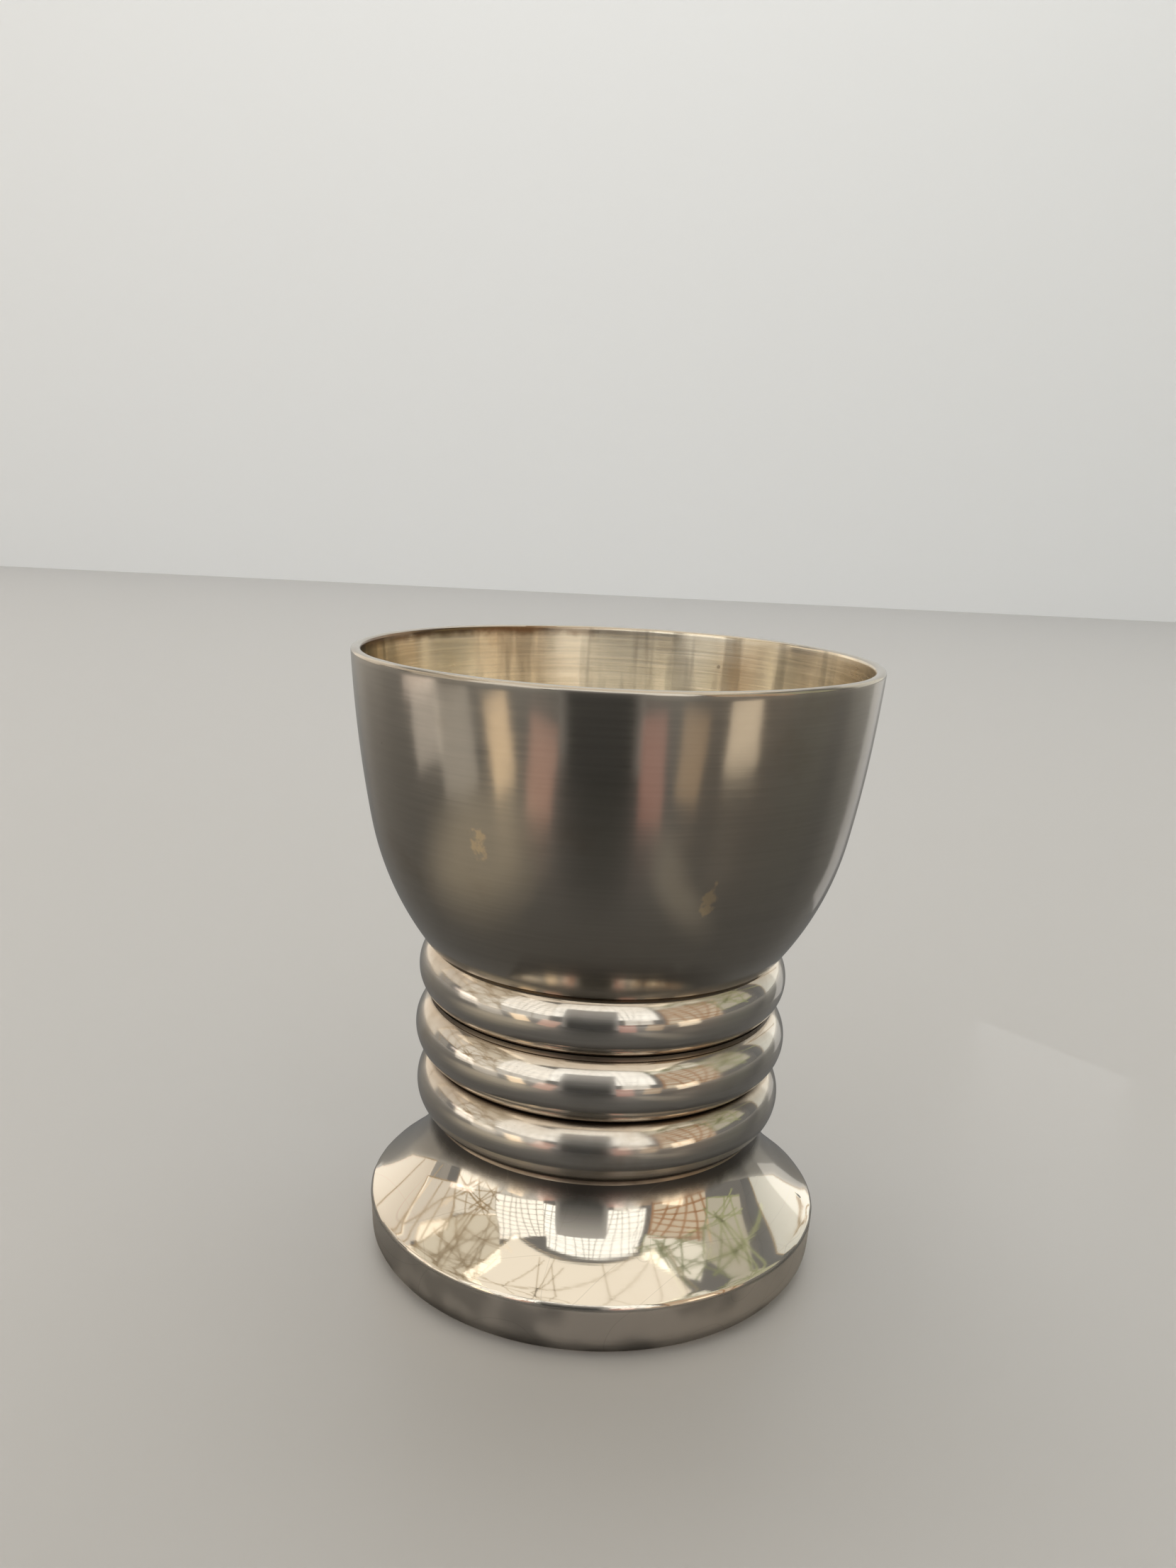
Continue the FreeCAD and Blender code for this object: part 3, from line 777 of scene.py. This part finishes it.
@dataclass
class Foot:
    """The flared foot and the plate that closes it."""
    wall: float = 1.0 * MM
    collar_radius: float = 17.5 * MM
    collar_bore: float = 17.07 * MM
    collar_start: float = 13.97 * MM
    bore_start: float = 12.0 * MM
    neck_flare: float = 9.93 * MM
    flare_joint: Point = (19.7152 * MM, 9.58 * MM)
    flare: float = 26.6 * MM
    band_radius: float = 24.08 * MM
    band_top: float = 5.58 * MM
    band_bottom_radius: float = 23.85 * MM
    band_bottom: float = 1.9 * MM
    edge_round: float = 0.36 * MM
    contact_radius: float = 22.5 * MM
    turn_under: float = 3.2 * MM
    hem_inner: float = 20.6 * MM
    hem_height: float = 1.0 * MM
    hem_root: float = 22.1 * MM

    def build(self) -> None:
        """Turn the foot."""
        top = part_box("foot_shell")[1].z
        turn_under = Arc((self.contact_radius, 0.0), (self.band_bottom_radius, self.band_bottom),
                         self.turn_under)
        slow = Arc((self.band_radius, self.band_top), self.flare_joint, self.flare, True)
        tight = Arc(self.flare_joint, (self.collar_radius, self.collar_start), self.neck_flare,
                    True)
        inner = slow.inset(self.wall)
        foot = Turning(
            "foot", (self.hem_inner, 0.0), turn_under, slow, tight, (self.collar_radius, top),
            (self.collar_bore, top), (self.collar_bore, self.bore_start),
            inner.end, inner.start, (self.band_radius - self.wall, self.band_top - self.wall / 2),
            (self.band_bottom_radius - self.wall, self.band_bottom),
            (self.hem_root, self.hem_height), (self.hem_inner, self.hem_height))
        foot.bevel(self.edge_round, (self.band_radius, self.band_top),
                   (self.band_bottom_radius, self.band_bottom), segments=5)
        foot.wear("band_wear", (self.band_radius, self.band_top), 1.2 * MM, 0.09 * MM, 3.5 * MM)
        foot.finish(("foot_shell",), FOOT_SILVER.build())


@dataclass
class Underside:
    """What the foot hides: the small measure, the closing plate and their solder."""
    tube: float = 17.07 * MM
    wall: float = 0.9 * MM
    shoulder_rise: float = 2.3 * MM
    shoulder_round: float = 1.7 * MM
    lip_round: float = 0.36 * MM
    mouth_seam: float = 0.7 * MM
    plate_seam_hollow: float = 1.5 * MM

    def build(self, solder: bpy.types.Material) -> None:
        """Turn the measure, lay the plate and run its solder."""
        self.measure()
        low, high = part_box("closing_plate")
        plate = Turning("base_plate", (self.tube, low.z), (high.x, low.z), (high.x, high.z),
                        (self.tube, high.z))
        plate.finish(("closing_plate",), BASE_SILVER.build())
        low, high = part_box("mouth_solder_seam")
        mouth = Turning("mouth_solder", (self.tube, low.z),
                        (self.tube + self.mouth_seam, high.z), (self.tube, high.z))
        mouth.finish(("mouth_solder_seam",), solder)
        low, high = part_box("closing_plate")
        top = (Foot.band_bottom_radius - Foot.wall, Foot.band_bottom)
        seam = Turning("plate_solder", (high.x, low.z), (Foot.hem_root, low.z),
                       Arc(top, (high.x, high.z), self.plate_seam_hollow, True))
        seam.finish(("plate_solder_seam",), solder)

    def measure(self) -> None:
        """Turn the small measure: a tube with a domed end, open at the ground."""
        low, high = (corner.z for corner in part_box("lower_measure"))
        rise = self.shoulder_rise
        shoulder = high - rise
        dome = (self.tube ** 2 / rise + rise) / 2
        bore = self.tube - self.wall
        outer = Arc((self.tube, shoulder), (0.0, high), dome)
        inner_dome = dome - self.wall
        inner_shoulder = high - dome + math.sqrt(inner_dome ** 2 - bore ** 2)
        inner = Arc((0.0, high - self.wall), (bore, inner_shoulder), inner_dome, True)
        tube = Turning("measure", inner, (bore, low), (self.tube, low), outer)
        tube.bevel(self.lip_round, (bore, low), (self.tube, low))
        tube.bevel(self.shoulder_round, (self.tube, shoulder))
        tube.finish(("lower_measure",), MEASURE_SILVER.build())


# ---------------------------------------------------------------- studio


NEAR = 0.2              # lamps nearer than this light no dull surface
BARS_OFF = 0.02         # from a lamp's face to its bars


class Bars(Enum):
    """Bars in front of a lamp: their width and colour."""
    WINDOW = (0.010, (0.34, 0.28, 0.21, 1.0))
    CEILING = (0.008, (0.85, 0.74, 0.56, 1.0))
    BRANCHES = (0.016, (0.55, 0.42, 0.26, 1.0))
    LEAVES = (0.022, (0.50, 0.56, 0.34, 1.0))
    SHELVES = (0.030, (0.62, 0.36, 0.20, 1.0))


@dataclass(frozen=True)
class Lamp:
    """A soft rectangular lamp that the camera doesn't see.

    Attributes:
        name: Its name.
        place: Its middle.
        facing: The direction it shines in.
        size: Its width and height.
        level: Brightness of its face; 1 renders as white.
        tint: Its colour.
        panes: Columns and rows that thin bars divide it into.
        crooked: How far the bars lean to and fro, in radians.
        lean: How far the whole lamp leans sideways, in degrees.
        bars: The bars' kind.
        mirrored: Whether reflections show it.
    """
    name: str
    place: Place
    facing: Place
    size: Point
    level: float
    tint: Place = (1.0, 0.97, 0.93)
    panes: tuple[int, int] = (1, 1)
    crooked: float = 0.0
    lean: float = 0.0
    bars: Bars = Bars.WINDOW
    mirrored: bool = True

    def build(self) -> None:
        """Hang the lamp and the bars in front of it."""
        lamp = bpy.data.lights.new(self.name, "AREA")
        lamp.shape = "RECTANGLE"
        lamp.size, lamp.size_y = self.size
        lamp.energy = self.level * math.pi * self.size[0] * self.size[1]
        lamp.color = self.tint
        place, facing = Vector(self.place), Vector(self.facing)
        turn = facing.to_track_quat("-Z", "Y").to_matrix().to_4x4()
        turn = turn @ Matrix.Rotation(math.radians(self.lean), 4, "Z")
        fixture = bpy.data.objects.new(self.name, lamp)
        fixture.matrix_world = Matrix.Translation(place) @ turn
        fixture.visible_camera = False
        fixture.visible_diffuse = place.length > NEAR
        fixture.visible_glossy = self.mirrored
        bpy.context.scene.collection.objects.link(fixture)
        if self.panes != (1, 1):
            self.glaze(Matrix.Translation(place + facing.normalized() * BARS_OFF) @ turn)

    def glaze(self, front: Matrix) -> None:
        """Lay thin bars at the lamp's front, so that reflections show it as panes."""
        thick, colour = self.bars.value
        width, height = self.size
        bars = []
        for across, count in enumerate(self.panes):
            for number in range(count + 1):
                bpy.ops.mesh.primitive_plane_add(size=1.0)
                bar = bpy.context.object
                at = self.size[across] * (number / count - 0.5)
                shift = Matrix.Translation((at, 0, 0) if across == 0 else (0, at, 0))
                scale = (thick, height, 1) if across == 0 else (width, thick, 1)
                sway = self.crooked * math.sin(7.3 * number + 3.1 * across)
                lean = Matrix.Rotation(sway, 4, "Z")
                bar.matrix_world = front @ shift @ lean @ Matrix.Diagonal((*scale, 1))
                bars.append(bar)
        select_only(bars[0])
        for bar in bars:
            bar.select_set(True)
        bpy.ops.object.join()
        bpy.ops.object.transform_apply(location=True, rotation=True, scale=True)
        bars[0].name = bars[0].data.name = self.name + "_bars"
        bars[0].data.materials.append(plain_paper(self.name + "_bars", colour, 0.8))
        bars[0].visible_camera = False


def soft_box(name: str, bearing: float, away: float, span: Point, width: float, level: float,
             *look: Place | tuple[int, int] | float, **more: float | Bars) -> Lamp:
    """Return an upright lamp that faces the object.

    Args:
        name: Its name.
        bearing: Direction from the object in degrees; 0 is the front, 90 the right.
        away: Distance from the object's axis.
        span: Heights of its lower and upper edges.
        width: Its width.
        level: Brightness of its face.
        *look: Its tint, panes and crookedness.
        **more: Its lean or its bars.

    Returns:
        The lamp.
    """
    turn = math.radians(bearing)
    across, along = away * math.sin(turn), -away * math.cos(turn)
    return Lamp(name, (across, along, sum(span) / 2), (-across, -along, 0.0),
                (width, span[1] - span[0]), level, *look, **more)


def plain_paper(name: str, colour: Colour, roughness: float) -> bpy.types.Material:
    """Return a plain material for the studio."""
    paper = Sheet(name)
    paper.shade("Base Color", colour)
    paper.shade("Roughness", roughness)
    return paper.material


@dataclass(frozen=True)
class PaintedPatch:
    """A small patch of painted light or painted shadow that fades into the cloth.

    Attributes:
        name: Its name.
        place: Its middle.
        reach: How far it goes along X and Y.
        colour: Its colour in the middle.
    """
    name: str
    place: Point
    reach: Point
    colour: Colour


# A painted shadow in front of the object, and paler painted light at its left and right.
PAINTED_PATCHES = (
    PaintedPatch("painted_shadow_patch", (-0.006, -0.125), (0.028, 0.085), (0.09, 0.095, 0.10, 1.0)),
    PaintedPatch("painted_light_patch", (-0.080, -0.055), (0.055, 0.075), (0.35, 0.33, 0.29, 1.0)),
    PaintedPatch("painted_light_patch_right", (0.038, -0.070), (0.016, 0.050), (0.25, 0.245, 0.235, 1.0)),
)
CREAM = (1.0, 0.92, 0.78)
DAY = (1.0, 0.97, 0.90)

LAMPS = (
    soft_box("left_window", -45, 1.1, (0.24, 1.16), 0.62, 1.22, DAY, (7, 9), 0.1),
    soft_box("left_window_low", -45, 1.1, (0.0, 0.24), 0.62, 0.50, DAY, (3, 1)),
    soft_box("left_garden", -76, 1.1, (0.0, 0.70), 0.60, 0.72, (1.0, 0.93, 0.80), (10, 8), 0.9,
             bars=Bars.BRANCHES),
    soft_box("left_trees", -84, 1.1, (0.70, 1.60), 0.95, 0.60, (1.0, 0.90, 0.70), (12, 9), 1.1,
             bars=Bars.BRANCHES),
    soft_box("left_end", -104, 1.1, (0.22, 0.80), 0.46, 0.62, (1.0, 0.90, 0.76), (3, 2), 0.4,
             bars=Bars.BRANCHES),
    soft_box("left_end_low", -108, 1.1, (0.0, 0.22), 0.30, 0.18, (1.0, 0.90, 0.76)),
    soft_box("far_left", -133, 1.1, (0.0, 0.80), 0.72, 0.60, (1.0, 0.87, 0.70), (2, 1), 0.4,
             bars=Bars.BRANCHES),
    soft_box("front_window", 3, 1.1, (0.32, 1.62), 1.38, 1.32, (1.0, 1.0, 0.96), (13, 12), 0.1),
    soft_box("right_window", 23, 1.1, (0.06, 0.32), 0.32, 0.70, DAY, (2, 2)),
    soft_box("right_room", 58, 1.1, (0.0, 0.95), 0.72, 0.50, (1.0, 0.82, 0.58), (5, 7), 0.25,
             bars=Bars.SHELVES),
    soft_box("right_upper", 58, 1.1, (0.96, 1.50), 0.80, 0.80, (1.0, 0.97, 0.84), (9, 6), 1.0,
             bars=Bars.LEAVES),
    soft_box("right_garden", 90, 1.1, (0.20, 1.1), 0.50, 0.35, (1.0, 0.94, 0.72), (7, 9), 1.1,
             bars=Bars.LEAVES),
    soft_box("far_right", 136, 1.1, (0.0, 0.75), 0.80, 0.50, (0.99, 1.0, 0.90), (3, 2), 0.8,
             bars=Bars.BRANCHES),
    soft_box("near_left_4", -82, 0.125, (0.034, 0.042), 0.038, 0.70, (1.0, 0.86, 0.78), lean=3),
    soft_box("near_left_3", -79, 0.13, (0.012, 0.040), 0.034, 0.44, (1.0, 0.93, 0.85), lean=6),
    soft_box("near_left_2", -64, 0.13, (0.0, 0.032), 0.040, 0.34, (1.0, 0.94, 0.84), lean=8),
    soft_box("near_left_1", -44, 0.13, (0.002, 0.032), 0.022, 0.94, (1.0, 0.76, 0.48), lean=14),
    soft_box("near_left", -27, 0.11, (0.0, 0.031), 0.020, 0.40, (1.0, 0.52, 0.38), lean=-16),
    soft_box("near_right", 15, 0.11, (0.0, 0.034), 0.018, 0.29, (1.0, 0.41, 0.31), lean=4),
    soft_box("near_right_1", 30, 0.12, (0.004, 0.033), 0.020, 0.31, (1.0, 0.68, 0.38), lean=-5),
    soft_box("near_right_2", 50, 0.13, (0.012, 0.037), 0.030, 0.80, (1.0, 0.86, 0.66), lean=8),
    soft_box("near_right_3", 130, 0.09, (0.0, 0.055), 0.026, 0.27, (1.0, 1.0, 1.0)),
    Lamp("ceiling", (-0.06, 0.02, 1.0), (0.0, 0.0, -1.0), (1.42, 1.3), 0.88, CREAM, (9, 7), 0.5,
         bars=Bars.CEILING),
    Lamp("back_wash", (0.0, 0.35, 1.2), (0.0, 0.55, -0.6), (1.2, 0.5), 2.4, (1.0, 1.0, 0.99),
         mirrored=False),
)


@dataclass
class Studio:
    """Pale floor and wall, soft lamps, a cloth of painted shade and light and a screen that the
    silver shows, a camera.
    """
    floor_width: float = 6.0
    floor_front: float = 1.5
    floor_back: float = 0.95
    wall_height: float = 2.5
    floor_colour: Colour = (0.52, 0.52, 0.525, 1.0)
    # The cloth's tones and fade are painted shade, and the foot shadow is a painted shadow; only
    # reflections show them.
    cloth_colour: Colour = (0.106, 0.110, 0.119, 1.0)
    cloth_edge: Colour = (0.315, 0.322, 0.334, 1.0)
    cloth_width: float = 1.6
    cloth_height: float = 0.0002
    cloth_fade: Point = (0.10, 0.55)
    foot_shadow: Point = (0.0235, 0.037)
    shadow_colour: Colour = (0.012, 0.012, 0.014, 1.0)
    dullness: float = 0.42
    wall_colour: Colour = (0.84, 0.87, 0.91, 1.0)
    screen_place: Place = (-0.013, -0.142, 0.067)
    screen_size: Point = (0.080, 0.134)
    screen_low: Colour = (0.093, 0.098, 0.105, 1.0)
    screen_high: Colour = (0.66, 0.67, 0.70, 1.0)
    ambient: float = 0.2
    camera_place: Place = (0.0, -0.13513, 0.07959)
    pitch: float = 0.2142
    yaw: float = -0.0179
    roll: float = 0.0465
    lens: float = 30.68
    film: float = 36.0

    def build(self) -> None:
        """Set up everything round the object."""
        self.sweep()
        self.cloth()
        self.screen()
        self.light_world()
        for lamp in LAMPS:
            lamp.build()
        self.aim_camera()
        bpy.context.scene.view_settings.view_transform = "Standard"

    def sweep(self) -> None:
        """Lay the floor and stand a wall behind it."""
        depth = self.floor_front + self.floor_back
        middle = (self.floor_back - self.floor_front) / 2
        self.panel("floor", (0, middle, 0), (self.floor_width, depth), False,
                   plain_paper("floor", self.floor_colour, self.dullness))
        self.panel("wall", (0, self.floor_back, self.wall_height / 2),
                   (self.floor_width, self.wall_height), True,
                   plain_paper("wall", self.wall_colour, 0.9))

    def cloth(self) -> None:
        """Lay a dark cloth that only reflections show, with painted shade and a painted shadow at
        the foot.
        """
        paper = Sheet("cloth")
        reach = paper.vector("LENGTH", paper.place)
        # Painted shade, darkest near the object and paler farther out, and a painted shadow round
        # the foot.
        tone = paper.mix(paper.ramp(reach, *self.cloth_fade), self.cloth_colour, self.cloth_edge)
        shadow = paper.ramp(reach, *self.foot_shadow, 0.8, 0.0)
        paper.shade("Base Color", paper.mix(shadow, tone, self.shadow_colour))
        self.lay("cloth", (0.0, 0.0, self.cloth_height), (self.cloth_width, self.cloth_width),
                 paper)
        for patch in PAINTED_PATCHES:
            self.lay_painted_patch(patch)

    def lay(self, name: str, place: Place, size: Point, paper: Sheet) -> None:
        """Lay a panel that only reflections show."""
        paper.shade("Roughness", self.dullness)
        paper.see_through_from_below()
        unseen = self.panel(name, place, size, False, paper.material)
        unseen.visible_camera = unseen.visible_shadow = unseen.visible_diffuse = False

    def screen(self) -> None:
        """Stand a small dark screen in front, below the camera's view."""
        paper = Sheet("screen")
        place = paper.node("ShaderNodeSeparateXYZ", Vector=paper.place).outputs
        rise = paper.ramp(place["Z"], 0.02, 0.135)
        aside = paper.math("ABSOLUTE", paper.math("SUBTRACT", place["X"], self.screen_place[0]))
        edge = paper.ramp(aside, 0.35 * self.screen_size[0], 0.5 * self.screen_size[0], 0.0, 0.7)
        tone = paper.mix(rise, self.screen_low, self.screen_high)
        paper.shade("Base Color", paper.mix(edge, tone, self.screen_high))
        paper.shade("Roughness", 0.8)
        screen = self.panel("screen", self.screen_place, self.screen_size, True, paper.material)
        screen.visible_camera = False

    def lay_painted_patch(self, patch: PaintedPatch) -> None:
        """Lay a small patch of painted light or painted shadow on the cloth."""
        paper = Sheet(patch.name)
        away = paper.vector("SUBTRACT", paper.place, (*patch.place, 0.0))
        away = paper.vector("MULTIPLY", away, (1 / patch.reach[0], 1 / patch.reach[1], 0.0))
        fade = paper.ramp(paper.vector("LENGTH", away), 0.25, 1.0)
        paper.shade("Base Color", paper.mix(fade, patch.colour, self.cloth_colour))
        self.lay(patch.name, (*patch.place, 2 * self.cloth_height),
                 (2 * patch.reach[0], 2 * patch.reach[1]), paper)

    @staticmethod
    def panel(name: str, place: Place, size: Point, upright: bool,
              paper: bpy.types.Material) -> bpy.types.Object:
        """Add one flat panel of the studio.

        Args:
            name: Its name.
            place: Its middle.
            size: Its width, and its depth or height.
            upright: Whether it stands up instead of lying down.
            paper: Its material.

        Returns:
            The panel.
        """
        bpy.ops.object.select_all(action="DESELECT")
        bpy.ops.mesh.primitive_plane_add(size=1.0, location=place)
        panel = bpy.context.object
        panel.name = panel.data.name = name
        panel.scale = (size[0], size[1], 1.0)
        panel.rotation_euler = (math.pi / 2 if upright else 0.0, 0.0, 0.0)
        bpy.ops.object.transform_apply(location=True, rotation=True, scale=True)
        panel.data.materials.append(paper)
        return panel

    def light_world(self) -> None:
        """Fill the room with a dim even light."""
        world = bpy.data.worlds.new("room")
        world.use_nodes = True
        background = world.node_tree.nodes["Background"]
        background.inputs["Color"].default_value = (1.0, 0.98, 0.95, 1.0)
        background.inputs["Strength"].default_value = self.ambient
        bpy.context.scene.world = world

    def aim_camera(self) -> None:
        """Place the camera and turn it by its pitch, yaw and roll."""
        forward = Vector((math.sin(self.yaw) * math.cos(self.pitch),
                          math.cos(self.yaw) * math.cos(self.pitch), -math.sin(self.pitch)))
        level = Vector((math.cos(self.yaw), -math.sin(self.yaw), 0.0))
        upright = level.cross(forward)
        right = level * math.cos(self.roll) + upright * math.sin(self.roll)
        up = upright * math.cos(self.roll) - level * math.sin(self.roll)
        camera = bpy.data.cameras.new("camera")
        camera.lens = self.lens
        camera.sensor_height = self.film
        camera.sensor_fit = "VERTICAL"
        camera.clip_start = 5 * MM
        camera_object = bpy.data.objects.new("camera", camera)
        turn = Matrix((right, up, -forward)).transposed()
        camera_object.matrix_world = Matrix.Translation(self.camera_place) @ turn.to_4x4()
        bpy.context.scene.collection.objects.link(camera_object)
        bpy.context.scene.camera = camera_object


def main() -> None:
    """Build the object's pieces and the studio round them."""
    logging.basicConfig(level=logging.INFO, format="%(name)s: %(message)s")
    solder = SOLDER.build()
    Cup().build()
    Neck().build(solder)
    Foot().build()
    Underside().build(solder)
    Studio().build()


if __name__ == "__main__":
    main()
